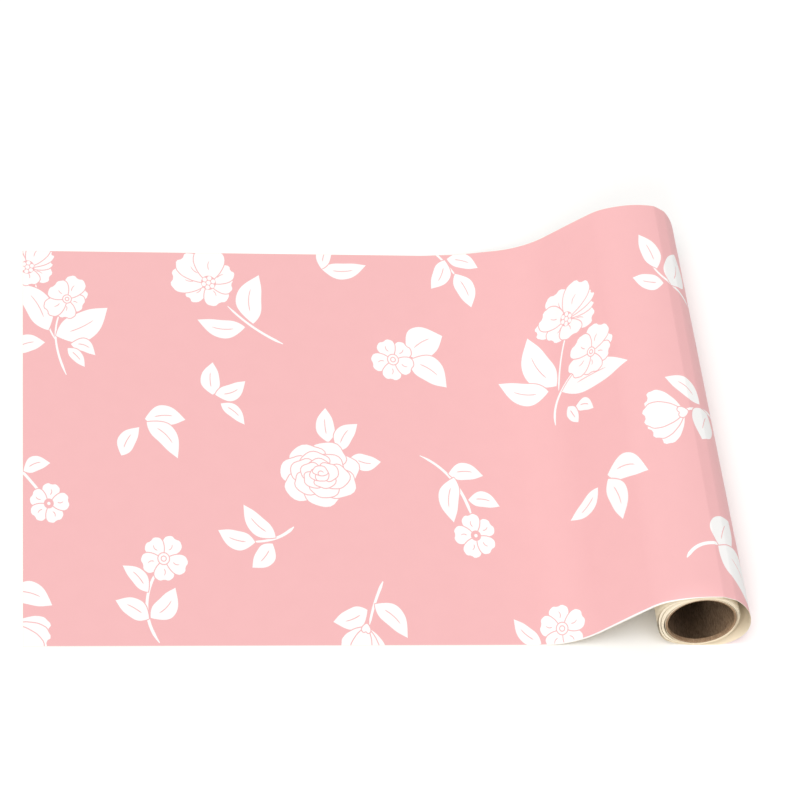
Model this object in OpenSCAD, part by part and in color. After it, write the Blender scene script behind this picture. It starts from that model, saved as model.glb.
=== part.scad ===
// A part-used roll of wrapping paper lying on a table. The roll's axis runs along Y.
// The sheet is drawn off over the top of the roll, towards -X, and lies flat on the table.
// The origin is the centre of the core's bore, half way along it. +Z is up.

/* [Paper] */
// Width of the paper, which is the length of the roll
paper_w = 610; // [300:10:900]
// Thickness of the modelled sheet
sheet_t = 0.4; // [0.3:0.05:0.8]
// Length of paper lying flat on the table
flat_len = 584; // [200:1:900]

/* [Core] */
// Radius of the core's bore
core_bore_r = 38.1; // [30:0.1:52]
// Thickness of one ply of core board
ply_t = 0.5; // [0.3:0.05:0.8]
// How far the core's ends lie inside the paper's edges
core_recess = 1; // [0:0.5:10]

/* [Turns on the core] */
// Radial clearance between the core and the first turn
core_fit = 0.1; // [0.05:0.01:0.1]
// Thickness of the turns that stay tight on the core
tight_t = 0.4; // [0.3:0.1:3]
// Radial clearance between the tight turns and the slack ones
running_gap = 0.3; // [0.3:0.05:1]
// Thickness of each bundle of slack turns where it is pressed together
bundle_t = 0.35; // [0.3:0.05:2]
// Gap between bundles where they are pressed together
bundle_gap = 0.05; // [0.05:0.05:0.5]

/* [Slack in the turns] */
// How far the slack turns stand off at the upper left, under the rising sheet
corner_slack = 12.5; // [0:0.5:13]
// How far they stand off at the lower left
left_slack = 7; // [0:0.5:9]
// How far they stand off at the upper right
right_slack = 4.5; // [0:0.5:4.5]
// Headroom between the pressed turns and the sheet that passes over them
top_slack = 3; // [3:0.5:8]

/* [Sheet over the roll] */
// Angle at which the sheet climbs from the table
rise_angle = 41; // [35:1:50]
// Radius of the bend where the sheet leaves the table
foot_r = 100; // [40:5:140]
// Radius of the bend at the top of the climb
shoulder_r = 60; // [30:5:70]
// Slope at which the shoulder turns into the crown
crown_angle = 20; // [15:1:30]
// Radius of the gentle crown over the turns
crown_r = 150; // [120:5:200]
// Widest gap between the turns and the loop on the far side
loop_gap = 15.9; // [12:0.1:30]
// Radius of the loop's lower bend, down to the table
loop_low_r = 38.5; // [30:0.5:42]

/* [Hidden] */
$fn = 96;

pink = [0.97, 0.75, 0.76];
cream = [0.93, 0.90, 0.84];
kraft = [0.55, 0.46, 0.37];

// Plies in the core's wall, wound one on another
plies = 5;
core_r = core_bore_r + plies * ply_t;
core_len = paper_w - 2 * core_recess;

// Radii on the pressed side of the roll, from the core outwards
tight_r = core_r + core_fit;
slack_r = tight_r + tight_t + running_gap;
bundle_pitch = bundle_t + bundle_gap;
pack_r = slack_r + 3 * bundle_pitch;

// The table is under the roll and one thickness of sheet
table_z = -(pack_r + sheet_t);
// The inner face of the sheet where it passes over the crown
crown_z = pack_r + top_slack;
// The inner faces of the loop on the far side. The sheet starts to fall far enough beyond the
// crown to clear the swollen turns; what its two bends leave of the drop is straight
loop_x = pack_r + loop_gap;
loop_bottom_z = table_z + sheet_t;
loop_r = min(crown_z - loop_bottom_z - loop_low_r, loop_x - pack_r / 5);
loop_top_x = loop_x - loop_r;

// The straight climb joins the foot's bend to the shoulder's
shoulder_drop = crown_r * (1 - cos(crown_angle))
    + shoulder_r * (cos(crown_angle) - cos(rise_angle));
shoulder_run = crown_r * sin(crown_angle)
    + shoulder_r * (sin(rise_angle) - sin(crown_angle));
foot_height = foot_r * (1 - cos(rise_angle));
climb_height = crown_z - table_z - shoulder_drop - foot_height;
climb_run = climb_height / tan(rise_angle);
foot_x = loop_top_x - shoulder_run - climb_run - foot_r * sin(rise_angle);

// Length of one chord along a bend, and the angle between points round a turn
chord = 3;
turn_step = 4;

// A bend: points [x, z, heading] from p, turning from heading h0 to h1 at radius r
function bend(p, r, h0, h1) =
    let (s = sign(h1 - h0), n = ceil(r * abs(h1 - h0) * PI / 180 / chord),
         cx = p[0] - s * r * sin(h0), cz = p[1] + s * r * cos(h0))
    [for (i = [0:n]) let (h = h0 + (h1 - h0) * i / n)
        [cx + s * r * sin(h), cz - s * r * cos(h), h]];

// The other face of a sheet that follows a line: each point moved one thickness to the left
function other_face(line) =
    [for (p = line) [p[0] - sheet_t * sin(p[2]), p[1] + sheet_t * cos(p[2])]];
function reversed(list) = [for (i = [len(list) - 1:-1:0]) list[i]];
function xz(line) = [for (p = line) [p[0], p[1]]];

// A smooth swelling of the turns round one direction, nothing beyond half_width from it
function swell(a, centre, half_width, height) =
    abs(a - centre) >= half_width ? 0 : height * (1 + cos(180 * (a - centre) / half_width)) / 2;

// How far the outermost slack turn stands off in each direction, anticlockwise from +X
function slack(a) = swell(a, 152, 56, corner_slack) + swell(a, 212, 52, left_slack)
    + swell(a, 55, 70, right_slack) + swell(a, 415, 70, right_slack);

// A turn's outline: radius r where it is pressed, and its share of the slack elsewhere
function turn_outline(r, share) =
    [for (a = [0:turn_step:360 - turn_step]) (r + share * slack(a)) * [cos(a), sin(a)]];

// Carries an outline in X and Z along the whole width of the paper
module across(width) {
    rotate([90, 0, 0]) linear_extrude(height = width, center = true) children();
}

// A stretch of sheet whose inner face follows a line
module sheet_along(line) {
    across(paper_w) polygon(concat(xz(line), reversed(other_face(line))));
}

// A round tube between two radii
module tube(r_in, r_out, width) {
    across(width) difference() { circle(r_out); circle(r_in); }
}

// A bundle of slack turns: number k from the core, between two shares of the slack
module slack_bundle(k, share_in, share_out) {
    r_in = slack_r + k * bundle_pitch;
    across(paper_w) difference() {
        polygon(turn_outline(r_in + bundle_t, share_out));
        polygon(turn_outline(r_in, share_in));
    }
}

module core_ply(k) {
    r_in = core_bore_r + k * ply_t;
    color(kraft) tube(r_in, r_in + ply_t, core_len);
}

// The stretch that lies flat on the table, down to the paper's free end
module free_sheet() {
    color(pink) translate([foot_x - flat_len, -paper_w / 2, table_z])
        cube([flat_len, paper_w, sheet_t]);
}

// The stretch that climbs from the table to the crown of the roll
module rising_sheet() {
    foot = bend([foot_x, table_z], foot_r, 0, rise_angle);
    top = foot[len(foot) - 1];
    shoulder = bend([top[0] + climb_run, top[1] + climb_height], shoulder_r, rise_angle, crown_angle);
    crown = bend(shoulder[len(shoulder) - 1], crown_r, crown_angle, 0);
    color(pink) sheet_along(concat(foot, shoulder, crown));
}

// The loose outer turn: down the far side and back under the roll
module loose_turn() {
    upper = bend([loop_top_x, crown_z], loop_r, 0, -90);
    lower = bend([loop_x, loop_bottom_z + loop_low_r], loop_low_r, -90, -180);
    color(pink) sheet_along(concat(upper, lower, [[0, loop_bottom_z, -180]]));
}

module slack_turns_outer() { color(cream) slack_bundle(2, 0.88, 1); }
module slack_turns_middle() { color(cream) slack_bundle(1, 0.56, 0.76); }
module slack_turns_inner() { color(cream) slack_bundle(0, 0.24, 0.44); }

// The turns that grip the core and turn with it
module tight_turns() { color(cream) tube(tight_r, tight_r + tight_t, paper_w); }

module core_ply_1() { core_ply(0); }
module core_ply_2() { core_ply(1); }
module core_ply_3() { core_ply(2); }
module core_ply_4() { core_ply(3); }
module core_ply_5() { core_ply(4); }

free_sheet();
rising_sheet();
loose_turn();
slack_turns_outer();
slack_turns_middle();
slack_turns_inner();
tight_turns();
core_ply_1();
core_ply_2();
core_ply_3();
core_ply_4();
core_ply_5();
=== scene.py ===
import bpy
import numpy as np
from mathutils import Matrix, Vector
from mathutils.geometry import delaunay_2d_cdt


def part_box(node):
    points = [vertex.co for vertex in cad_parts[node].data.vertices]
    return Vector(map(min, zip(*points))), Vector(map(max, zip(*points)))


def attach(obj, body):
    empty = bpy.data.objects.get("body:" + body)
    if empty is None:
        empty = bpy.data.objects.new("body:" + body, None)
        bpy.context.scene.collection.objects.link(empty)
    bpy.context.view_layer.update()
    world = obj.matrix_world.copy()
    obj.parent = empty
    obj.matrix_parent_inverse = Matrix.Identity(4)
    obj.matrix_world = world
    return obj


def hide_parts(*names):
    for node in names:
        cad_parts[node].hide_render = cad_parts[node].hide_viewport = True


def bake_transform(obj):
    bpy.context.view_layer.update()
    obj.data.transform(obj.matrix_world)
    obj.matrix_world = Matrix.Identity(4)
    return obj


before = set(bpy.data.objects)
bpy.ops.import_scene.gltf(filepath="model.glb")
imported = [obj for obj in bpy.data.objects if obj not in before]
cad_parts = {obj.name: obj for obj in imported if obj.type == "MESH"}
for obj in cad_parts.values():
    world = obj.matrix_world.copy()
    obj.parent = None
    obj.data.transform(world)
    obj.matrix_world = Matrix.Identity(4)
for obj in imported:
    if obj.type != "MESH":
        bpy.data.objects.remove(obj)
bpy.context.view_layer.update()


# ---- Camera --------------------------------------------------------------------------------------
# A long lens, high above the table in front of the roll's near end and to its left. It looks down
# along the roll, turned a little about its own line of sight.
YAW, PITCH, ROLL = np.radians((10.98, 48.212, 8.635))
CAMERA_PLACE = (-0.7942, -2.4318, 2.8013)
LENS, SENSOR = 142.5, 36.0


def place_object(name, data):
    """A new object in the scene."""
    obj = bpy.data.objects.new(name, data)
    bpy.context.collection.objects.link(obj)
    return obj


forward = np.array((np.sin(YAW) * np.cos(PITCH), np.cos(YAW) * np.cos(PITCH), -np.sin(PITCH)))
level = np.array((np.cos(YAW), -np.sin(YAW), 0.0))
upright = np.cross(level, forward)
right = np.cos(ROLL) * level + np.sin(ROLL) * upright
up = np.cos(ROLL) * upright - np.sin(ROLL) * level

camera = place_object("camera", bpy.data.cameras.new("camera"))
camera.data.lens = LENS
camera.data.sensor_width = SENSOR
turn = Matrix(np.stack((right, up, -forward), axis=1).tolist())
camera.matrix_world = Matrix.Translation(CAMERA_PLACE) @ turn.to_4x4()
bpy.context.scene.camera = camera
bpy.context.scene.view_settings.view_transform = "Standard"


# ---- Table and light -----------------------------------------------------------------------------
# A pale table top in an evenly lit room. One wide, soft light shines from above, in front and a
# little left, and a weaker one low down in front reaches under the sheet. A small lamp above and to
# the left reaches into the core's near end.
TABLE_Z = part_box("free_sheet")[0][2]
TABLE_DROP = 2e-5  # how far the table top lies under the sheet that rests on it
TABLE_HALF = 6.0
TABLE_TONES = (0.965, 0.96, 0.952, 1), (0.985, 0.98, 0.972, 1)
TABLE_CLOUDS = 3.0  # changes of tone to a metre
TABLE_ROUGHNESS, TABLE_GLOSS = 0.8, 0.2
ROOM_COLOUR, ROOM_LIGHT = (1.0, 1.0, 1.0, 1), 0.45
LIGHT_COLOUR = (1.0, 0.99, 0.975)
LIGHTS = (
    # name, strength, direction in which it shines, spread in degrees
    ("key", 1.95, (0.18, 0.30, -1.0), 50),
    ("front", 0.80, (0.35, 1.0, -0.50), 22),
)
LAMP_PLACE, LAMP_AIM = Vector((-0.46, -1.01, 0.85)), Vector((0.006, -0.305, -0.012))
LAMP_POWER, LAMP_CONE, LAMP_BLEND, LAMP_SIZE = 60.0, 2.2, 0.6, 0.04


def add_node(tree, kind, **settings):
    """A new node. A setting sets the input of that name, or else the node's own property."""
    node = tree.nodes.new(kind)
    for name, value in settings.items():
        if name in node.inputs:
            node.inputs[name].default_value = value
        else:
            setattr(node, name, value)
    return node


def wire(tree, *routes):
    """Links, each given as a node, its output, the next node and that one's input."""
    for source, output, target, socket in routes:
        tree.links.new(source.outputs[output], target.inputs[socket])


def new_material(name, **settings):
    """A material, its node tree and its Principled shader with the inputs that settings give."""
    material = bpy.data.materials.new(name)
    material.use_nodes = True
    shader = material.node_tree.nodes["Principled BSDF"]
    for socket, value in settings.items():
        shader.inputs[socket].default_value = value
    return material, material.node_tree, shader


table_mesh = bpy.data.meshes.new("table_top")
table_corners = [
    (x * TABLE_HALF, y * TABLE_HALF, TABLE_Z - TABLE_DROP) for x, y in ((-1, -1), (1, -1), (1, 1), (-1, 1))
]
table_mesh.from_pydata(table_corners, [], [(0, 1, 2, 3)])
table_top = place_object("table_top", table_mesh)

table_paint, tree, shader = new_material(
    "table_paint", **{"Roughness": TABLE_ROUGHNESS, "Specular IOR Level": TABLE_GLOSS}
)
place = add_node(tree, "ShaderNodeTexCoord")
cloud = add_node(tree, "ShaderNodeTexNoise", Scale=TABLE_CLOUDS)
tone = add_node(tree, "ShaderNodeMix", data_type="RGBA", A=TABLE_TONES[0], B=TABLE_TONES[1])
wire(
    tree,
    (place, "Object", cloud, "Vector"),
    (cloud, "Fac", tone, "Factor"),
    (tone, "Result", shader, "Base Color"),
)
table_mesh.materials.append(table_paint)

for name, strength, direction, spread in LIGHTS:
    lamp = place_object(name, bpy.data.lights.new(name, "SUN"))
    lamp.data.energy = strength
    lamp.data.angle = np.radians(spread)
    lamp.data.color = LIGHT_COLOUR
    lamp.rotation_euler = Vector(direction).to_track_quat("-Z", "Y").to_euler()

core_lamp = place_object("core_lamp", bpy.data.lights.new("core_lamp", "SPOT"))
core_lamp.data.energy = LAMP_POWER
core_lamp.data.spot_size = np.radians(LAMP_CONE)
core_lamp.data.spot_blend = LAMP_BLEND
core_lamp.data.shadow_soft_size = LAMP_SIZE
core_lamp.location = LAMP_PLACE
core_lamp.rotation_euler = (LAMP_AIM - LAMP_PLACE).to_track_quat("-Z", "Y").to_euler()

world = bpy.data.worlds.new("room")
bpy.context.scene.world = world
world.use_nodes = True
background = world.node_tree.nodes["Background"]
background.inputs["Color"].default_value = ROOM_COLOUR
background.inputs["Strength"].default_value = ROOM_LIGHT


# ---- Printed sheet -------------------------------------------------------------------------------
# One length of thin gift paper, cream, with a flat pink print that leaves flowers bare. It lies on
# the table, climbs over the roll, hangs in a loose loop on the far side, passes under the roll and
# becomes the three outermost slack turns. All lengths here are in millimetres.
MM = 0.001
PAPER = 0.1  # thickness of the sheet
PLAIN_PAPER = 0.4  # thickness of the plain solids that the sheet stands for
WIDTH = 610.0
FREE_END = -761.5  # where the sheet's free end lies along X
FLAT = 584.0  # length that lies flat
TABLE = TABLE_Z / MM
FOOT_RADIUS, SHOULDER_RADIUS, CROWN_RADIUS = 100.0, 60.0, 150.0
RISE, CROWN_TURN = 41.0, 20.0
CLIMB = 66.9  # the straight stretch between the bends of the foot and the shoulder
LOOP_RADIUS, LOOP_LOW_RADIUS = 49.7, 38.5
# The loop's two faint creases: where each one lies along the upper bend, how long, how many degrees
CREASES = ((9.5, 1.0, 20.0), (25.0, 1.0, 15.0))
UNDER_ROLL = 20.0  # length that lies flat under the roll
LOOP_SETTLE = 0.3  # how far the sheet moves outwards on its way down, to lie on the table
PRESSED_TO = 43.0  # degrees of turn by which the sheet has closed onto the turns, under the roll
OUTER_RADII = 42.5, 42.4, 42.3
OUTER_SHARES = 1.0, 0.96, 0.92
# Where the turns stand off the core: direction in degrees, half width of the swelling, height
SWELLINGS = (152, 56, 12.5), (212, 52, 7.0), (55, 70, 4.5), (415, 70, 4.5)
TURN_STEP = 0.5  # degrees from one point of a turn to the next


def swell(angle, centre, half_width, height):
    """One wave of a raised cosine round centre, in degrees, and nothing beyond half_width."""
    away = np.abs(angle - centre)
    wave = height * (1 + np.cos(np.pi * away / half_width)) / 2
    return np.where(away < half_width, wave, 0.0)


def slack(angle):
    """How far the outermost slack turn stands off in each direction, anticlockwise from +X."""
    return sum(swell(np.mod(angle, 360), *swelling) for swelling in SWELLINGS)


def spiral(radii, shares):
    """Turns from the bottom of the roll, up its left side and over the top. The radius falls
    evenly from one turn's to the next, plus that turn's share of the slack in each direction."""
    count = len(radii)
    turns = np.arange(0, count + 1e-9, TURN_STEP / 360)
    angle = 270 - 360 * turns
    base = np.interp(turns, np.arange(count), radii)
    share = np.array(shares)[np.minimum(turns.astype(int), count - 1)]
    radius = base + share * slack(angle)
    return turns, radius, np.radians(angle)


def smooth(x):
    """0 below 0, 1 above 1 and an S between them."""
    x = np.clip(x, 0, 1)
    return x * x * (3 - 2 * x)


def arc_length(x, z):
    """Distance along a line of points."""
    return np.concatenate(([0.0], np.cumsum(np.hypot(np.diff(x), np.diff(z)))))


# Each run of the sheet's lower face: its length, and the degrees that it turns, left positive
runs = [
    (FLAT, 0.0),
    (FOOT_RADIUS * np.radians(RISE), RISE),
    (CLIMB, 0.0),
    (SHOULDER_RADIUS * np.radians(RISE - CROWN_TURN), CROWN_TURN - RISE),
    (CROWN_RADIUS * np.radians(CROWN_TURN), -CROWN_TURN),
]
crown_end = sum(length for length, _ in runs)
turned = covered = 0.0
for centre, length, degrees in CREASES:
    before = centre - length / 2
    heading_there = np.degrees(centre / LOOP_RADIUS) - degrees / 2
    runs += [(before - covered, turned - heading_there), (length, -degrees)]
    turned, covered = heading_there + degrees, centre + length / 2
upper_loop = LOOP_RADIUS * np.pi / 2
runs += [
    (upper_loop - covered, turned - 90),
    (LOOP_LOW_RADIUS * np.pi / 2, -90.0),
    (UNDER_ROLL, 0.0),
]
FINE = 0.25  # step along the line
run_x, run_heading = [0.0], [0.0]
for length, degrees in runs:
    run_x.append(run_x[-1] + length)
    run_heading.append(run_heading[-1] + np.radians(degrees))
line_end = run_x[-1]
along = np.linspace(0, line_end, int(line_end / FINE) + 1)
heading = np.interp(along, run_x, run_heading)
middle = (heading[1:] + heading[:-1]) / 2
step = np.diff(along)
line_x = FREE_END + np.concatenate(([0.0], np.cumsum(step * np.cos(middle))))
line_z = TABLE + np.concatenate(([0.0], np.cumsum(step * np.sin(middle))))
# The creases leave the line a few millimetres off, which is taken up round the loop
loop_share = smooth((along - crown_end) / (run_x[-2] - crown_end))
line_x -= loop_share * line_x[-1]
line_z -= loop_share * (line_z[-1] - (TABLE + PLAIN_PAPER))
shift = PAPER / 2 + LOOP_SETTLE * loop_share
line_x, line_z = line_x - shift * np.sin(heading), line_z + shift * np.cos(heading)

turns, radius, angle = spiral(OUTER_RADII, OUTER_SHARES)
closing = smooth(1 - turns * 360 / PRESSED_TO)
radius = radius + closing * (-line_z[-1] - radius[0])
line_x = np.concatenate((line_x, radius[1:] * np.cos(angle[1:])))
line_z = np.concatenate((line_z, radius[1:] * np.sin(angle[1:])))
along = arc_length(line_x, line_z)
SHEET_LENGTH = along[-1]

# The far end stands a little higher and falls more steeply than the near one: at each length along
# the sheet, how far its far edge lies from the near one's line, along X and up
FAR_EDGE = (
    (500, 0, 0), (546, 0, 3), (566, 0, 6.5), (586, 0, 10), (606, 0, 12), (626, 0, 13), (648, 0, 13),
    (683, 0, 12), (707, 0, 11), (731, 0, 9.5), (752, 0, 9), (782, 0, 8.5), (804, 0, 6.5),
    (818, -0.5, 3.5), (832, -2, 0), (850, -4.5, -3), (875, -6, -4), (896, -3.5, -2), (916, 0, 0),
)
ROUNDING = 121  # steps of the line over which the corners between those lengths are rounded
far_lengths, *far_offsets = zip(*FAR_EDGE)
wave = np.hanning(ROUNDING) / np.hanning(ROUNDING).sum()
evenly = np.linspace(0, SHEET_LENGTH, int(SHEET_LENGTH / FINE) + 1)
far_x, far_z = (np.convolve(np.interp(evenly, far_lengths, far), wave, "same") for far in far_offsets)
far_x, far_z = np.interp(along, evenly, far_x), np.interp(along, evenly, far_z)

# Rows across the sheet: few where it is flat or straight, close together where it bends
FLAT_ROWS, CLIMB_ROWS = 26, 56
BENT_ROW = 2.4  # distance between the rows where the sheet bends
CLOSEST = 0.4  # least distance between two rows
foot_end = FLAT + run_x[2] - run_x[1]
climb_end = foot_end + CLIMB
even_end = far_lengths[0] - np.floor(ROUNDING * FINE / 2)  # where both edges still lie level
rows = np.unique(
    np.concatenate(
        (
            np.linspace(0, even_end, FLAT_ROWS),
            np.linspace(even_end, climb_end, CLIMB_ROWS),
            np.linspace(climb_end, SHEET_LENGTH, int((SHEET_LENGTH - climb_end) / BENT_ROW)),
            [x for x in run_x if climb_end < x < crown_end + upper_loop],
        )
    ).round(4)
)
rows = rows[np.concatenate(([True], np.diff(rows) > CLOSEST))]
rows[-1] = SHEET_LENGTH

# The print. A point of the pattern is a complex number: millimetres along the sheet, and across
# it with the pattern's stretch taken out. Shapes are painted in order, each over the last.
STRETCH = 1.3  # the pattern is this much longer across the sheet than along it
LINE, VEIN = 1.15, 0.7  # width of a drawn line, and its share at the end of a petal's vein
INK, BARE = 1, 2
shapes = []  # (outline, INK or BARE)


def at(along_sheet, across):
    """A place on the sheet as a point of the pattern."""
    return complex(along_sheet, across / STRETCH)


def grown(outline, by):
    """An anticlockwise outline moved outwards, each point along the mean of its sides' normals."""
    tangent = np.roll(outline, -1) - np.roll(outline, 1)
    return outline - 1j * by * tangent / np.maximum(np.abs(tangent), 1e-6)


def stroke(points, start, end):
    """A strip round a line of points. Its width runs evenly from start to end, and falls to
    three tenths of that at its tips."""
    points = np.asarray(points)
    tangent = np.gradient(points)
    share = np.linspace(0, 1, len(points))
    tips = np.minimum(1, 6 * np.minimum(share, 1 - share) + 0.3)
    half = (start + (end - start) * share) / 2 * tips
    side = 1j * tangent / np.abs(tangent) * half
    return np.concatenate((points - side, (points + side)[::-1]))


def curve(points):
    """A smooth line through three or four points: the polynomial through them, evenly spaced."""
    points = np.asarray(points)
    t = np.linspace(0, 1, len(points))
    u = np.linspace(0, 1, 18)
    result = np.zeros(len(u), complex)
    for i, point in enumerate(points):
        others = np.delete(t, i)
        result += point * np.prod((u[:, None] - others) / (t[i] - others), axis=1)
    return result


def paint_outlined(outline):
    """A bare shape with a thin line of ink round it, which parts it from what it lies over."""
    shapes.append((grown(outline, LINE), INK))
    shapes.append((outline, BARE))


def leaf(base, tip, width, curl):
    """An almond round a line bowed by a sine. Half its width is a sine too, skewed so that it is
    fullest before its middle and rippled a little, and a short vein runs along its middle."""
    t = np.linspace(0, 1, 22)
    axis = tip - base
    spine = base + axis * t + 1j * axis * curl * np.sin(np.pi * t)
    half = 1j * axis * width * 0.52 * np.sin(np.pi * t**0.86) * (1 + 0.06 * np.sin(3 * np.pi * t))
    outline = np.concatenate(((spine - half)[:-1], (spine + half)[:0:-1]))
    paint_outlined(outline)
    v = np.linspace(0.24, 0.68, 9)
    bow = 1j * axis * curl * (np.sin(np.pi * v) + 0.25 * (v - 0.46))
    shapes.append((stroke(base + axis * v + bow, LINE, LINE * 0.8), INK))


def petal(centre, direction, inner, outer, half_width, notch=0.06, teeth=0.0):
    """A rounded paddle from inner to outer along a direction. Its width grows towards the tip,
    and the tip dips by notch in its middle and ripples by teeth."""
    u = np.linspace(0, 2 * np.pi, 34)[:-1]
    reach = 0.5 - 0.5 * np.cos(u)
    tip = np.exp(-(((u - np.pi) / 0.28) ** 2))
    rim = reach * (1 + teeth * np.cos(9 * u)) - notch * tip
    side = -half_width * np.sin(u) * (0.42 + 0.62 * reach**0.8)
    return centre + np.exp(1j * direction) * (inner + (outer - inner) * rim + 1j * side)


def ring(centre, radius, count=22):
    """A circle of points."""
    return centre + radius * np.exp(2j * np.pi * np.arange(count) / count)


def flower(centre, size, direction, eye, seed):
    """Five notched petals round an eye, each with its own line of ink and a short curved vein."""
    vary = np.random.default_rng(seed)
    for k in range(5):
        way = direction + 2 * np.pi * (k + vary.uniform(-0.05, 0.05)) / 5
        reach = size * vary.uniform(0.93, 1.05)
        paint_outlined(petal(centre, way, size * 0.12, reach, size * 0.51, 0.07, 0.012))
        t = np.linspace(0.42, 0.70, 7)
        bend = 0.05 * np.sin(np.pi * (t - 0.42) / 0.28) * (1 if k % 2 else -1)
        shapes.append((stroke(centre + np.exp(1j * way) * size * (t + 1j * bend), LINE, LINE * VEIN), INK))
    flower_eye(centre, size, eye)


def flower_eye(centre, size, eye):
    """Two rings one in the other, a ring round a dot, or six seeds round a seventh."""
    if eye == "ring":
        for radius in (0.27, 0.13):
            shapes.append((ring(centre, size * radius), INK))
            shapes.append((ring(centre, size * (radius - LINE / size)), BARE))
    elif eye == "dot":
        shapes.append((ring(centre, size * 0.24), INK))
        shapes.append((ring(centre, size * 0.08, 14), BARE))
    else:
        shapes.append((ring(centre, size * 0.29), INK))
        for k in range(7):
            way = 0 if k == 6 else np.exp(1j * (0.3 + np.pi * k / 3))
            shapes.append((ring(centre + size * 0.19 * way, size * 0.085, 12), BARE))


def blossom(centre, petals, eye, size, broaden=1.0):
    """A flower seen from one side. Each petal is its direction in degrees, its reach and its half
    width, and the whole flower is broadened along the sheet."""

    def broad(outline):
        return centre + outline.real * broaden + 1j * outline.imag

    for way, reach, half_width in petals:
        toward = np.radians(way)
        paint_outlined(broad(petal(0, toward, 2.0, reach, half_width, 0.08, 0.015)))
        t = np.linspace(0.36, 0.62, 6) * reach
        bend = 0.03 * reach * np.sin(np.linspace(0, np.pi, 6))
        shapes.append((stroke(broad(np.exp(1j * toward) * (t + 1j * bend)), LINE, LINE * VEIN), INK))
    flower_eye(centre, size, eye)


def rose(centre, size, direction):
    """Rings of cupped petals, widest first, each ring laid over the last and turned half a petal.
    A petal is a circle with a lobed edge, and the whole rose is broadened along the sheet."""
    rings = ((7, 0.60, 0.42), (6, 0.40, 0.34), (5, 0.23, 0.25), (3, 0.09, 0.16))
    for layer, (count, away, reach) in enumerate(rings):
        for k in range(count):
            way = direction + 2 * np.pi * (k + 0.5 * layer) / count
            u = np.linspace(0, 2 * np.pi, 26)[:-1]
            lobe = 1 + 0.07 * np.cos(3 * u) + 0.04 * np.cos(5 * u + k)
            disc = size * reach * lobe * (np.cos(u) * 0.86 + 1j * np.sin(u) * 1.08)
            cup = np.exp(1j * way) * (size * away * (1 + 0.06 * np.cos(5 * way)) + disc)
            paint_outlined(centre + cup.real * 1.17 + 0.92j * cup.imag)
    t = np.linspace(0, 1, 14)
    curl = centre + size * 0.02 + size * 0.10 * (1 - 0.6 * t) * np.exp(1j * (direction + 4.5 * t))
    shapes.append((stroke(curl, LINE, LINE), INK))


def bud(base, top):
    """Broad petals fanned from one base, the middle one last, and a small cup under them. Each
    petal's turn from the middle is its share of spread."""
    spread = 0.95
    axis = top - base
    for fan in (-0.62, 0.62, 0.3, -0.12):
        way = np.angle(axis) + fan * spread
        reach = abs(axis) * (1 - 0.10 * abs(fan))
        paint_outlined(petal(base, way, 0.0, reach, abs(axis) * 0.36, 0.06, 0.025))
    cup = petal(base - 0.12 * axis, np.angle(axis), 0.0, 0.26 * abs(axis), 0.15 * abs(axis), 0.2)
    paint_outlined(cup)


def stem(*places, start, end):
    """A bare strip through three or four places, from its width at the start to that at the end."""
    shapes.append((stroke(curve([at(*place) for place in places]), start, end), BARE))


# Stems first, each from its flower to its cut end
stem((15, 255), (25, 200), (40, 155), start=1.8, end=2.0)
stem((45, 200), (40, 155), (52, 100), start=1.8, end=3.0)
stem((250, 215), (280, 180), (315, 153), start=2.4, end=3.2)
stem((0, -52), (7, -62), (20, -82), start=3.2, end=3.2)
stem((152, -198), (141, -230), (140, -265), (152, -300), start=3.0, end=3.6)
stem((312, -133), (290, -150), (262, -155), start=3.8, end=2.2)
stem((390, -275), (398, -245), (410, -213), start=2.6, end=3.4)
stem((512, 312), (525, 293), (538, 268), start=2.8, end=2.2)
stem((665, 135), (653, 100), (645, 58), start=2.0, end=2.2)
stem((692, 88), (648, 55), (635, 8), start=2.0, end=3.0)
stem((790, 203), (812, 175), (848, 162), start=2.2, end=3.4)
stem((798, -30), (820, -22), (862, -10), start=2.6, end=3.4)
stem((468, -24), (503, -60), (522, -118), start=2.6, end=3.8)
stem((772, -247), (790, -230), (815, -228), start=3.8, end=3.4)

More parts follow.
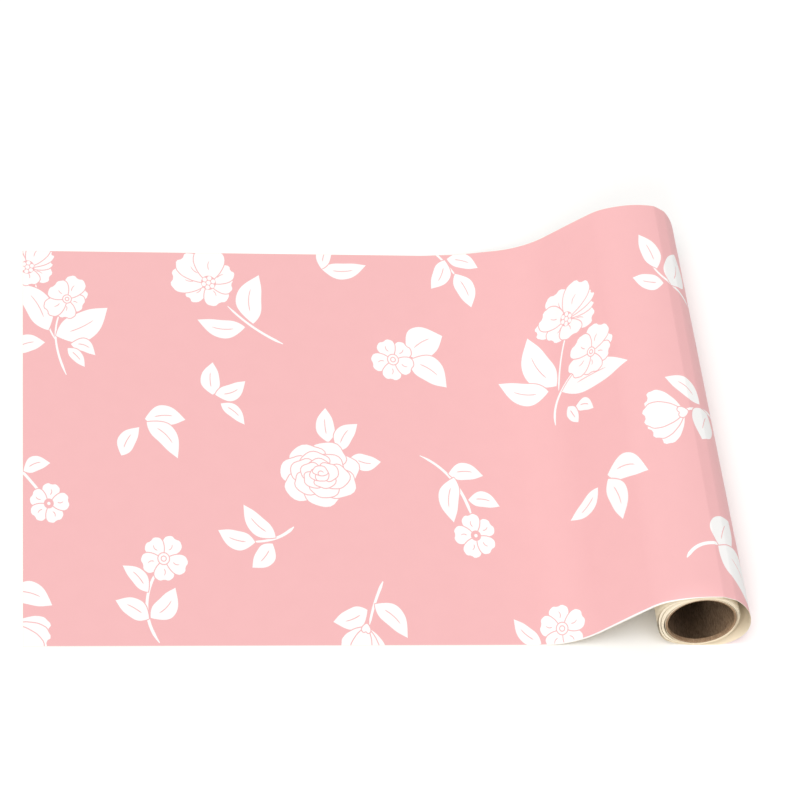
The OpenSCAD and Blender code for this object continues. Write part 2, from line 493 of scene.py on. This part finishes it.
# Leaves, each from its base to its tip
for place, tip, width, curl in (
    ((40, 163), (103, 210), 0.50, -0.08), ((31, 172), (-8, 250), 0.46, -0.10),
    ((-12, 140), (27, 152), 0.55, 0.10), ((58, 150), (87, 132), 0.50, 0.18),
    ((54, 143), (74, 113), 0.44, 0.06), ((280, 186), (291, 268), 0.50, 0.14),
    ((270, 180), (212, 192), 0.40, 0.12), ((370, 280), (426, 287), 0.38, -0.10),
    ((370, 280), (386, 330), 0.44, 0.08), ((226, 70), (228, 122), 0.58, 0.08),
    ((229, 70), (266, 92), 0.50, -0.14), ((235, 56), (262, 23), 0.42, 0.10),
    ((144, 31), (192, 30), 0.52, 0.10), ((146, 26), (181, -30), 0.44, 0.14),
    ((115, -26), (137, 18), 0.52, 0.10), ((1, -50), (32, -38), 0.56, 0.14),
    ((141, -228), (113, -190), 0.44, -0.10), ((141, -266), (104, -240), 0.52, -0.06),
    ((143, -265), (172, -222), 0.56, -0.14), ((266, -156), (224, -138), 0.50, 0.10),
    ((290, -149), (255, -100), 0.42, 0.10), ((286, -158), (261, -193), 0.62, 0.08),
    ((360, -4), (360, 50), 0.54, 0.05), ((371, -17), (397, 25), 0.52, 0.12),
    ((386, -27), (421, -34), 0.56, -0.12), ((389, -254), (349, -271), 0.56, 0.10),
    ((398, -246), (432, -294), 0.48, 0.12), ((-14, -226), (33, -247), 0.52, 0.10),
    ((466, 138), (512, 168), 0.80, 0.10), ((468, 128), (510, 84), 0.60, 0.12),
    ((526, 296), (505, 248), 0.52, 0.10), ((529, 298), (566, 279), 0.50, 0.10),
    ((537, 272), (552, 214), 0.50, 0.08), ((643, 66), (615, 153), 0.50, 0.12),
    ((632, 62), (573, 86), 0.44, 0.10), ((649, 54), (742, 56), 0.33, 0.03),
    ((664, 22), (688, 8), 0.56, 0.16), ((654, 28), (665, -2), 0.56, 0.00),
    ((796, 198), (780, 254), 0.52, -0.06), ((801, 174), (764, 184), 0.54, 0.08),
    ((812, 174), (829, 236), 0.70, -0.08), ((822, -14), (782, 22), 0.46, -0.10),
    ((836, -20), (816, -70), 0.80, -0.08), ((693, -97), (745, -114), 0.52, 0.14),
    ((693, -103), (704, -168), 0.50, 0.10), ((678, -108), (637, -137), 0.40, 0.10),
    ((500, -52), (541, -56), 0.50, 0.10), ((506, -58), (500, -126), 0.46, -0.12),
    ((520, -92), (556, -103), 0.50, 0.12), ((814, -232), (838, -182), 0.74, 0.10),
    ((811, -230), (868, -300), 0.56, 0.10), ((584, -303), (556, -268), 0.48, 0.10),
):
    leaf(at(*place), at(*tip), width, curl)

# Buds, the rose and flowers lie over the rest. Each blossom's petals are listed from the back one
bud(at(386, -280), at(377, -330))
bud(at(-12, -276), at(24, -315))
bud(at(797, -32), at(748, -44))
rose(at(347, -53), 42, 0.3)
TALL = (
    (185, 34, 13), (-135, 27, 13), (-25, 32, 14), (12, 32, 9), (29, 37, 9),
    (-80, 24, 15), (103, 39, 17), (60, 44, 17), (152, 30, 17),
)
SMALL = ((26, 27, 12), (-22, 22, 13), (-95, 25, 14), (212, 30, 14), (62, 32, 16), (132, 25, 17))
WIDE = (
    (222, 33, 13), (-65, 31, 18), (-5, 29, 15), (32, 34, 14), (172, 45, 21), (133, 47, 19), (86, 46, 22),
)
blossom(at(6, 277), TALL, "seeds", 30)
blossom(at(54, 224), SMALL, "ring", 22)
blossom(at(228, 254), WIDE, "seeds", 32, 1.06)
blossom(at(669, 160), TALL, "seeds", 30, 1.32)
blossom(at(696, 92), SMALL, "ring", 22, 1.25)
flower(at(30, -99), 24, 1.35, "dot", 4)
flower(at(160, -180), 27, 0.95, "ring", 5)
flower(at(448, 129), 27, 0.75, "ring", 6)
flower(at(524, -146), 25, 0.55, "dot", 9)
flower(at(610, -284), 27, 1.6, "ring", 10)

# The sheet's own plane is cut along every outline and every row, and each triangle takes the
# colour of the last shape that covers its middle
TRIM = 0.3  # width of the cut edge, which shows the paper's own cream
PRINT_END = 925.0  # the print stops where the sheet goes under the roll; the wound turns are plain
HALF = WIDTH / 2
# Unprinted strip along the near edge: its width at each length along the sheet. It is hardly there
# on the table and widens where the sheet climbs over the roll
STRIP = ((0, 0.9), (560, 0.9), (640, 2.0), (700, 3.0), (740, 2.4), (780, 1.2), (830, 0.6), (925, 0.6))
strip = [(TRIM, -HALF + TRIM), (PRINT_END, -HALF + TRIM)]
strip += [(length, -HALF + width) for length, width in STRIP[::-1]]
strip[-1] = (TRIM, strip[-1][1])
shapes.append((np.array([at(*place) for place in strip]), BARE))


def clipped(outline, axis, limit, sign):
    """The part of an outline on one side of a line, by cutting each edge that crosses it."""
    inside = sign * (outline[:, axis] - limit) <= 0
    following, after = np.roll(outline, -1, axis=0), np.roll(inside, -1)
    gap = following[:, axis] - outline[:, axis]
    share = np.where(inside != after, (limit - outline[:, axis]) / np.where(gap == 0, 1, gap), 0)
    crossing = outline + share[:, None] * (following - outline)
    crossing[:, axis] = np.where(inside != after, limit, crossing[:, axis])
    both = np.stack((outline, crossing), axis=1).reshape(-1, 2)
    return both[np.stack((inside, inside != after), axis=1).ravel()]


def covers(outline, points):
    """Which points lie inside an outline: those with an odd number of its edges to their right."""
    x, y = points[:, :1], points[:, 1:]
    x0, y0 = outline.T
    x1, y1 = np.roll(outline, -1, axis=0).T
    spans = (y0 > y) != (y1 > y)
    cross = x0 + (y - y0) * (x1 - x0) / np.where(y1 == y0, 1e-12, y1 - y0)
    return (spans & (x < cross)).sum(axis=1) % 2 == 1


outlines, colours = [], []
limits = ((0, TRIM, -1), (0, PRINT_END, 1), (1, TRIM - HALF, -1), (1, HALF - TRIM, 1))
for shape, colour in shapes:
    outline = np.stack((shape.real, shape.imag * STRETCH), axis=1)
    for axis, limit, sign in limits:
        if len(outline):
            outline = clipped(outline, axis, limit, sign)
    if len(outline) > 2:
        outlines.append(outline)
        colours.append(colour)

print_area = np.array(
    [(TRIM, TRIM - HALF), (PRINT_END, TRIM - HALF), (PRINT_END, HALF - TRIM), (TRIM, HALF - TRIM)]
)
points = [np.stack((np.repeat(rows, 2), np.tile((-HALF, HALF), len(rows))), axis=1)]
across = np.arange(0, 2 * len(rows), 2)
edges = [
    np.stack((across, across + 1), axis=1),
    np.stack((across[:-1], across[1:]), axis=1),
    np.stack((across[:-1] + 1, across[1:] + 1), axis=1),
]
count = 2 * len(rows)
for outline in [print_area] + outlines:
    index = count + np.arange(len(outline))
    points.append(outline)
    edges.append(np.stack((index, np.roll(index, -1)), axis=1))
    count += len(outline)
CUT_TOLERANCE = 1e-4
cut = delaunay_2d_cdt(
    [Vector(p) for p in np.concatenate(points).tolist()],
    np.concatenate(edges).tolist(), [], 0, CUT_TOLERANCE, False,
)
flat = np.array([tuple(p) for p in cut[0]])
faces = np.array(cut[2])
flat[:, 1] = np.clip(flat[:, 1], -HALF, HALF)
centres = flat[faces].mean(axis=1)
CREAM_BACK, PINK_INK, BARE_WHITE = 0, 1, 2  # places in the sheet's list of finishes
paint = np.where(
    (np.abs(centres[:, 1]) < HALF - TRIM) & (centres[:, 0] > TRIM) & (centres[:, 0] < PRINT_END),
    PINK_INK, CREAM_BACK,
)
order = np.argsort(centres[:, 0])
sorted_along = centres[order, 0]
for outline, colour in zip(outlines, colours):
    first, last = np.searchsorted(sorted_along, (outline[:, 0].min(), outline[:, 0].max()))
    near = order[first:last]
    paint[near[covers(outline, centres[near])]] = PINK_INK if colour == INK else BARE_WHITE


def on_sheet(flat, side):
    """Points and unit normals of a face of the sheet, side 1 the printed one and -1 the back. Each
    row runs straight from the near edge's line to the far one's, and the normal is the direction
    along the sheet crossed with the direction across it."""

    def at_rows(values):
        return np.interp(flat[:, 0], rows, np.interp(rows, along, values))

    share = (flat[:, 1] + HALF) / WIDTH
    run_dx, run_dz, gap_dx, gap_dz = (np.gradient(v, along) for v in (line_x, line_z, far_x, far_z))
    lean_x, lean_z = at_rows(far_x) / WIDTH, at_rows(far_z) / WIDTH
    ahead_x = np.interp(flat[:, 0], along, run_dx) + share * np.interp(flat[:, 0], along, gap_dx)
    ahead_z = np.interp(flat[:, 0], along, run_dz) + share * np.interp(flat[:, 0], along, gap_dz)
    normal = np.stack((-ahead_z, ahead_z * lean_x - ahead_x * lean_z, ahead_x), axis=1)
    normal /= np.linalg.norm(normal, axis=1, keepdims=True)
    x = at_rows(line_x) + share * at_rows(far_x)
    z = at_rows(line_z) + share * at_rows(far_z)
    return np.stack((x, flat[:, 1], z), axis=1) + side * PAPER / 2 * normal, normal


def build_mesh(name, corners, faces, normals, uv, paint, materials):
    """A mesh object from arrays: corner points in metres, faces as lists of corner numbers, and
    for each face corner in turn its normal and its place on the paper."""
    mesh = bpy.data.meshes.new(name)
    mesh.from_pydata(corners.tolist(), [], faces)
    mesh.polygons.foreach_set("use_smooth", np.ones(len(faces), bool))
    mesh.polygons.foreach_set("material_index", paint.astype(np.int32))
    layer = mesh.uv_layers.new(name="paper")
    layer.uv.foreach_set("vector", uv.astype(np.float32).ravel())
    for material in materials:
        mesh.materials.append(material)
    mesh.update()
    mesh.normals_split_custom_set(normals.tolist())
    return place_object(name, mesh)


top, top_normal = on_sheet(flat, 1)
back, back_normal = on_sheet(flat, -1)
# The edges all round are found by walking the cut's own border points in order
base = len(flat)
EDGE_TOLERANCE = 1e-3
near_side, far_side, free_side, last_side = (
    np.flatnonzero(np.abs(flat[:, axis] - place) < EDGE_TOLERANCE)
    for axis, place in ((1, -HALF), (1, HALF), (0, 0), (0, SHEET_LENGTH))
)
border = [
    near_side[np.argsort(flat[near_side, 0])],
    last_side[np.argsort(flat[last_side, 1])],
    far_side[np.argsort(-flat[far_side, 0])],
    free_side[np.argsort(-flat[free_side, 1])],
]
rims = [np.stack((side[1:], side[:-1], side[:-1] + base, side[1:] + base), axis=1) for side in border]
signed = np.cross(flat[faces[:, 1]] - flat[faces[:, 0]], flat[faces[:, 2]] - flat[faces[:, 0]])
triangles = np.where(signed[:, None] < 0, faces[:, ::-1], faces)
back_triangles = triangles[:, ::-1] + base
quads = np.concatenate(rims)
corners = np.concatenate((top, back))
end_normal = (back_normal[last_side[0], 2], 0.0, -back_normal[last_side[0], 0])
rim_normals = [
    np.tile(way, (4 * len(rim), 1))
    for rim, way in zip(rims, ((0.0, -1.0, 0.0), end_normal, (0.0, 1.0, 0.0), (-1.0, 0.0, 0.0)))
]
corner_normals = np.concatenate(
    [top_normal[triangles.ravel()], -back_normal[back_triangles.ravel() - base]] + rim_normals
)
all_flat = np.concatenate((flat, flat))
corner_uv = all_flat[np.concatenate((triangles.ravel(), back_triangles.ravel(), quads.ravel()))] * MM


# The finish of thin uncoated paper: cream fibres on the back, and on the face a flat pink ink with
# the flowers left in the white ground coat. Every pattern follows the paper's own length and width
FIBRES = (420.0, 1500.0, 1.0)  # changes of tone to a metre, along the paper and across it
CLOUDS, SPECKS = 38.0, 620.0  # to a metre in both directions
FIBRE_HEIGHT = 0.0001
DULL_SPREAD = 0.06  # how far the fibres move the roughness either way


def new_group(name, inputs, outputs):
    """An empty node group with named sockets, and its input and output nodes."""
    group = bpy.data.node_groups.new(name, "ShaderNodeTree")
    for socket, kind, value in inputs:
        made = group.interface.new_socket(socket, in_out="INPUT", socket_type=kind)
        if value is not None:
            made.default_value = value
    for socket, kind in outputs:
        group.interface.new_socket(socket, in_out="OUTPUT", socket_type=kind)
    return group, group.nodes.new("NodeGroupInput"), group.nodes.new("NodeGroupOutput")


paper_fibre, fibre_in, fibre_out = new_group(
    "paper_fibre",
    [
        ("Position", "NodeSocketVector", None),
        ("Fibre Relief", "NodeSocketFloat", 0.1),
        ("Fleck Amount", "NodeSocketFloat", 0.2),
    ],
    [("Tone", "NodeSocketFloat"), ("Fleck", "NodeSocketFloat"), ("Normal", "NodeSocketVector")],
)
stretch = add_node(paper_fibre, "ShaderNodeMapping", Scale=FIBRES)
fibres = add_node(paper_fibre, "ShaderNodeTexNoise", Scale=1.0, Detail=4.0, Roughness=0.65, Distortion=0.6)
clouds = add_node(paper_fibre, "ShaderNodeTexNoise", Scale=CLOUDS, Detail=3.0, Roughness=0.5)
blended = add_node(paper_fibre, "ShaderNodeMix", Factor=0.55)
specks = add_node(paper_fibre, "ShaderNodeTexNoise", Scale=SPECKS, Detail=1.0)
rare = add_node(paper_fibre, "ShaderNodeMapRange", **{"From Min": 0.66, "From Max": 0.78})
fleck_share = add_node(paper_fibre, "ShaderNodeMath", operation="MULTIPLY")
relief = add_node(paper_fibre, "ShaderNodeBump", Distance=FIBRE_HEIGHT)
wire(
    paper_fibre,
    (fibre_in, "Position", stretch, "Vector"),
    (stretch, "Vector", fibres, "Vector"),
    (fibre_in, "Position", clouds, "Vector"),
    (fibres, "Fac", blended, "A"),
    (clouds, "Fac", blended, "B"),
    (blended, "Result", fibre_out, "Tone"),
    (fibre_in, "Position", specks, "Vector"),
    (specks, "Fac", rare, "Value"),
    (rare, "Result", fleck_share, 0),
    (fibre_in, "Fleck Amount", fleck_share, 1),
    (fleck_share, "Value", fibre_out, "Fleck"),
    (fibres, "Fac", relief, "Height"),
    (fibre_in, "Fibre Relief", relief, "Strength"),
    (relief, "Normal", fibre_out, "Normal"),
)


def paper_material(name, light, dark, fleck, rough, relief, flecks, specular):
    """Paper whose colour runs between two tones with its fibres, with a few darker flecks."""
    material, tree, shader = new_material(name, **{"Specular IOR Level": specular})
    place = add_node(tree, "ShaderNodeUVMap", uv_map="paper")
    fibre = add_node(
        tree, "ShaderNodeGroup", node_tree=paper_fibre, **{"Fibre Relief": relief, "Fleck Amount": flecks}
    )
    tone = add_node(tree, "ShaderNodeMix", data_type="RGBA", A=(*dark, 1), B=(*light, 1))
    flecked = add_node(tree, "ShaderNodeMix", data_type="RGBA", B=(*fleck, 1))
    dull = add_node(
        tree, "ShaderNodeMapRange",
        **{"To Min": rough - DULL_SPREAD, "To Max": rough + DULL_SPREAD},
    )
    wire(
        tree,
        (place, "UV", fibre, "Position"),
        (fibre, "Tone", tone, "Factor"),
        (fibre, "Fleck", flecked, "Factor"),
        (tone, "Result", flecked, "A"),
        (flecked, "Result", shader, "Base Color"),
        (fibre, "Tone", dull, "Value"),
        (dull, "Result", shader, "Roughness"),
        (fibre, "Normal", shader, "Normal"),
    )
    return material


cream_back = paper_material(
    "cream_back", (0.88, 0.79, 0.63), (0.82, 0.72, 0.56), (0.60, 0.49, 0.36),
    rough=0.75, relief=0.5, flecks=0.35, specular=0.3,
)
pink_ink = paper_material(
    "pink_ink", (0.86, 0.475, 0.483), (0.82, 0.445, 0.452), (0.74, 0.36, 0.37),
    rough=0.55, relief=0.22, flecks=0.10, specular=0.35,
)
bare_white = paper_material(
    "bare_white", (0.93, 0.925, 0.915), (0.90, 0.895, 0.885), (0.84, 0.82, 0.79),
    rough=0.55, relief=0.22, flecks=0.10, specular=0.35,
)

printed_sheet = build_mesh(
    "printed_sheet", corners * MM, triangles.tolist() + back_triangles.tolist() + quads.tolist(),
    corner_normals, corner_uv, np.concatenate((paint, np.zeros(len(triangles) + len(quads), int))),
    (cream_back, pink_ink, bare_white),
)
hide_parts("free_sheet", "rising_sheet", "loose_turn", "slack_turns_outer")
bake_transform(printed_sheet)


# ---- Wound turns ---------------------------------------------------------------------------------
# The same paper further in: turns that have sprung open on the left and upper right, pressed
# together under the roll, and inside them the turns still gripping the core. Each turn's edges lie
# a fraction of a millimetre out of line with its neighbours'.
STAGGER = 0.6  # most that a turn's edge lies inside the paper's full width
FLUSH = 0.2  # share of that drawn past the full width and cut back to it, so that some edges are flush
FILLED = 0.85  # share of the space between two turns that the paper fills
EVERY = 6  # the spiral's own points to one row of the mesh
KNOTS = 3  # places round a turn at which the stagger of its edges is drawn


def facing(x, z):
    """Unit normals on the left of a line, which is the outer side of a turn."""
    dx, dz = np.gradient(x), np.gradient(z)
    length = np.hypot(dx, dz)
    return -dz / length, dx / length


def wound_paper(name, radii, shares, seed):
    """A spiral carried across the roll's width, with eight corners to a row: four across the outer
    face and four back across the inner one. Its thickness is a share of the space between turns,
    which is the fall of the radius plus the step in the slack, so a drawn turn stands for a few."""
    turns, radius, angle = spiral(radii, shares)
    x, z = radius * np.cos(angle), radius * np.sin(angle)
    s = arc_length(x, z)
    n_x, n_z = facing(x, z)
    pick = np.append(np.arange(0, len(s) - 1, EVERY), len(s) - 1)
    vary = np.random.default_rng(seed)
    knots = np.arange(0, len(radii) * KNOTS + 2)
    near_shift, far_shift = (
        np.interp(turns[pick] * KNOTS, knots, vary.uniform(-STAGGER, STAGGER * FLUSH, len(knots)))
        for _ in range(2)
    )
    near_y, far_y = np.maximum(-HALF - near_shift, -HALF), np.minimum(HALF + far_shift, HALF)
    widths = (near_y, near_y + TRIM, far_y - TRIM, far_y, far_y, far_y - TRIM, near_y + TRIM, near_y)
    sides = (1, 1, 1, 1, -1, -1, -1, -1)
    spacing = np.abs(np.diff(radii)).max() + abs(shares[1] - shares[0]) * slack(np.degrees(angle))
    thick = FILLED * spacing[pick]
    grid = np.stack(
        [
            np.stack((x[pick] + e * thick / 2 * n_x[pick], y, z[pick] + e * thick / 2 * n_z[pick]), axis=1)
            for y, e in zip(widths, sides)
        ],
        axis=1,
    )
    count = len(pick)
    i, j = (a.ravel() for a in np.meshgrid(np.arange(count - 1), np.arange(8), indexing="ij"))
    k = (j + 1) % 8
    wall = np.stack((i * 8 + j, i * 8 + 8 + j, i * 8 + 8 + k, i * 8 + k), axis=1)
    cap = np.array([(0, 1, 6, 7), (1, 2, 5, 6), (2, 3, 4, 5)])
    faces = np.concatenate((wall, cap, cap[:, ::-1] + (count - 1) * 8))
    flat = np.stack([np.stack((s[pick], y), axis=1) for y in widths], axis=1).reshape(-1, 2)
    out = np.stack((n_x[pick], 0 * n_x[pick], n_z[pick]), axis=1)
    row_of, column_of = faces // 8, np.repeat(np.append(j, [8] * 6)[:, None], 4, axis=1)
    ahead = np.stack((out[:, 2], 0 * out[:, 0], -out[:, 0]), axis=1)
    end_normal = ahead[row_of] * np.where(row_of == 0, -1, 1)[..., None]
    normals = out[row_of]
    for columns, normal in (
        (column_of > 3, -normals), (column_of == 3, (0.0, 1.0, 0.0)),
        (column_of == 7, (0.0, -1.0, 0.0)), (column_of == 8, end_normal),
    ):
        normals = np.where(columns[..., None], normal, normals)
    paper = build_mesh(
        name, grid.reshape(-1, 3) * MM, faces.tolist(), normals.reshape(-1, 3), flat[faces.ravel()] * MM,
        np.zeros(len(faces), int), (cream_back,),
    )
    return paper, s[-1]


for name, node, body, radii, shares, seed in (
    ("slack_turns_middle_paper", "slack_turns_middle", "resting_paper",
     (42.10, 42.04, 41.98, 41.92, 41.86), (0.80, 0.75, 0.70, 0.65, 0.60), 21),
    ("slack_turns_inner_paper", "slack_turns_inner", "resting_paper",
     (41.70, 41.64, 41.58, 41.52, 41.46), (0.46, 0.39, 0.32, 0.25, 0.18), 22),
    ("tight_turns_paper", "tight_turns", "tight_roll",
     (41.05, 40.98, 40.91, 40.84, 40.77), (0.0, 0.0, 0.0, 0.0, 0.0), 23),
):
    paper, length = wound_paper(name, radii, shares, seed)
    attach(paper, body)
    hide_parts(node)


# ---- Core ----------------------------------------------------------------------------------------
# A spiral-wound tube of brown board: five plies glued one on another, each a strip wound on a slant
# with a butt seam. Its ends are sawn, and lie just inside the paper's edges.
BORE_RADIUS = 38.1
PLIES, PLY = 5, 0.5
GLUE = 0.01  # distance of a ply's face from the line between two plies
CORE_HALF = 304.0
SAW_ROUND = 0.08  # rounding of a ply's sawn corner
SEAM_PITCH = 240.0  # length of tube in which a seam goes once round
SEAM_WIDTH, SEAM_DEPTH = 0.7, 0.12
PLY_TURN = 1.3  # how far round, in radians, each ply's seam lies from the last one's
COLUMNS = 96
SAW_SLIP = 0.2  # most that a ply's end lies inside the core's
SAW_SEED = 40
SHARP = 40  # degrees of turn past which an edge stays sharp
BOARD_FIBRES, BOARD_TURN = (900.0, 160.0, 900.0), (0.3, 0.0, 0.2)
BOARD_BLOTCHES = 60.0
BOARD_DARK, BOARD_LIGHT = (0.24, 0.142, 0.075, 1), (0.55, 0.375, 0.235, 1)
BOARD_RELIEF = 0.0003


def ply_tube(name, k):
    """A closed tube from rings of points: along the bore, over one sawn end, back along the outside
    and over the other end. In the innermost ply each ring is turned further with its place along
    the tube, so that one column of points follows the seam, and the bore is cut deeper there."""
    inner, outer = BORE_RADIUS + k * PLY + GLUE, BORE_RADIUS + (k + 1) * PLY - GLUE
    seam_half = SEAM_WIDTH / inner / 2
    columns = np.concatenate(
        ((-seam_half, 0.0, seam_half), np.linspace(0, 2 * np.pi, COLUMNS + 1)[1:-1])
    )
    seam = np.zeros(len(columns))
    seam[1] = 1.0
    steps = 2 * int(2 * CORE_HALF / SEAM_PITCH * COLUMNS / 2) if k == 0 else 2
    wall = np.linspace(-CORE_HALF + SAW_ROUND, CORE_HALF - SAW_ROUND, steps)
    vary = np.random.default_rng(SAW_SEED + k)
    start, end = vary.uniform(0, SAW_SLIP, 2)
    ring_r = np.concatenate(
        (
            np.full(steps, inner),
            (inner + SAW_ROUND, (inner + outer) / 2, outer - SAW_ROUND),
            (outer, outer),
            (outer - SAW_ROUND, (inner + outer) / 2, inner + SAW_ROUND),
        )
    )
    ring_y = np.concatenate(
        (
            wall,
            np.full(3, CORE_HALF - end),
            (CORE_HALF - SAW_ROUND - end, -CORE_HALF + SAW_ROUND + start),
            np.full(3, -CORE_HALF + start),
        )
    )
    ring_y = np.clip(ring_y, -CORE_HALF + start, CORE_HALF - end)
    on_bore = np.arange(len(ring_r)) < steps
    depth = np.where(on_bore & (k == 0), SEAM_DEPTH, 0.0)
    twist = 2 * np.pi * ring_y / SEAM_PITCH if k == 0 else 0 * ring_y
    theta = columns[None, :] + twist[:, None] + PLY_TURN * k
    radius = ring_r[:, None] + depth[:, None] * seam[None, :]
    along_core = np.broadcast_to(ring_y[:, None], theta.shape)
    corners = np.stack((radius * np.cos(theta), along_core, radius * np.sin(theta)), axis=2)
    rings, cols = theta.shape
    i, j = (a.ravel() for a in np.meshgrid(np.arange(rings), np.arange(cols), indexing="ij"))
    i2, j2 = (i + 1) % rings, (j + 1) % cols
    faces = np.stack((i * cols + j, i * cols + j2, i2 * cols + j2, i2 * cols + j), axis=1)
    mesh = bpy.data.meshes.new(name)
    mesh.from_pydata((corners.reshape(-1, 3) * MM).tolist(), [], faces.tolist())
    mesh.polygons.foreach_set("use_smooth", np.ones(len(faces), bool))
    mesh.set_sharp_from_angle(angle=np.radians(SHARP))
    mesh.update()
    return place_object(name, mesh)


kraft_board, tree, shader = new_material("kraft_board", **{"Specular IOR Level": 0.3})
place = add_node(tree, "ShaderNodeTexCoord")
stretch = add_node(tree, "ShaderNodeMapping", Scale=BOARD_FIBRES, Rotation=BOARD_TURN)
fibres = add_node(tree, "ShaderNodeTexNoise", Scale=1.0, Detail=5.0, Distortion=0.8)
blotches = add_node(tree, "ShaderNodeTexNoise", Scale=BOARD_BLOTCHES, Detail=3.0)
ramp = add_node(tree, "ShaderNodeValToRGB")
for element, position, colour in zip(ramp.color_ramp.elements, (0.3, 0.72), (BOARD_DARK, BOARD_LIGHT)):
    element.position = position
    element.color = colour
shade = add_node(tree, "ShaderNodeMix", data_type="RGBA", blend_type="MULTIPLY", Factor=0.5)
dull = add_node(tree, "ShaderNodeMapRange", **{"To Min": 0.72, "To Max": 0.92})
relief = add_node(tree, "ShaderNodeBump", Strength=0.6, Distance=BOARD_RELIEF)
wire(
    tree,
    (place, "Object", stretch, "Vector"),
    (stretch, "Vector", fibres, "Vector"),
    (place, "Object", blotches, "Vector"),
    (fibres, "Fac", ramp, "Fac"),
    (ramp, "Color", shade, "A"),
    (blotches, "Fac", shade, "B"),
    (shade, "Result", shader, "Base Color"),
    (fibres, "Fac", dull, "Value"),
    (dull, "Result", shader, "Roughness"),
    (fibres, "Fac", relief, "Height"),
    (relief, "Normal", shader, "Normal"),
)

for k in range(PLIES):
    ply = ply_tube(f"core_board_{k + 1}", k)
    ply.data.materials.append(kraft_board)
    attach(ply, "core")
    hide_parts(f"core_ply_{k + 1}")
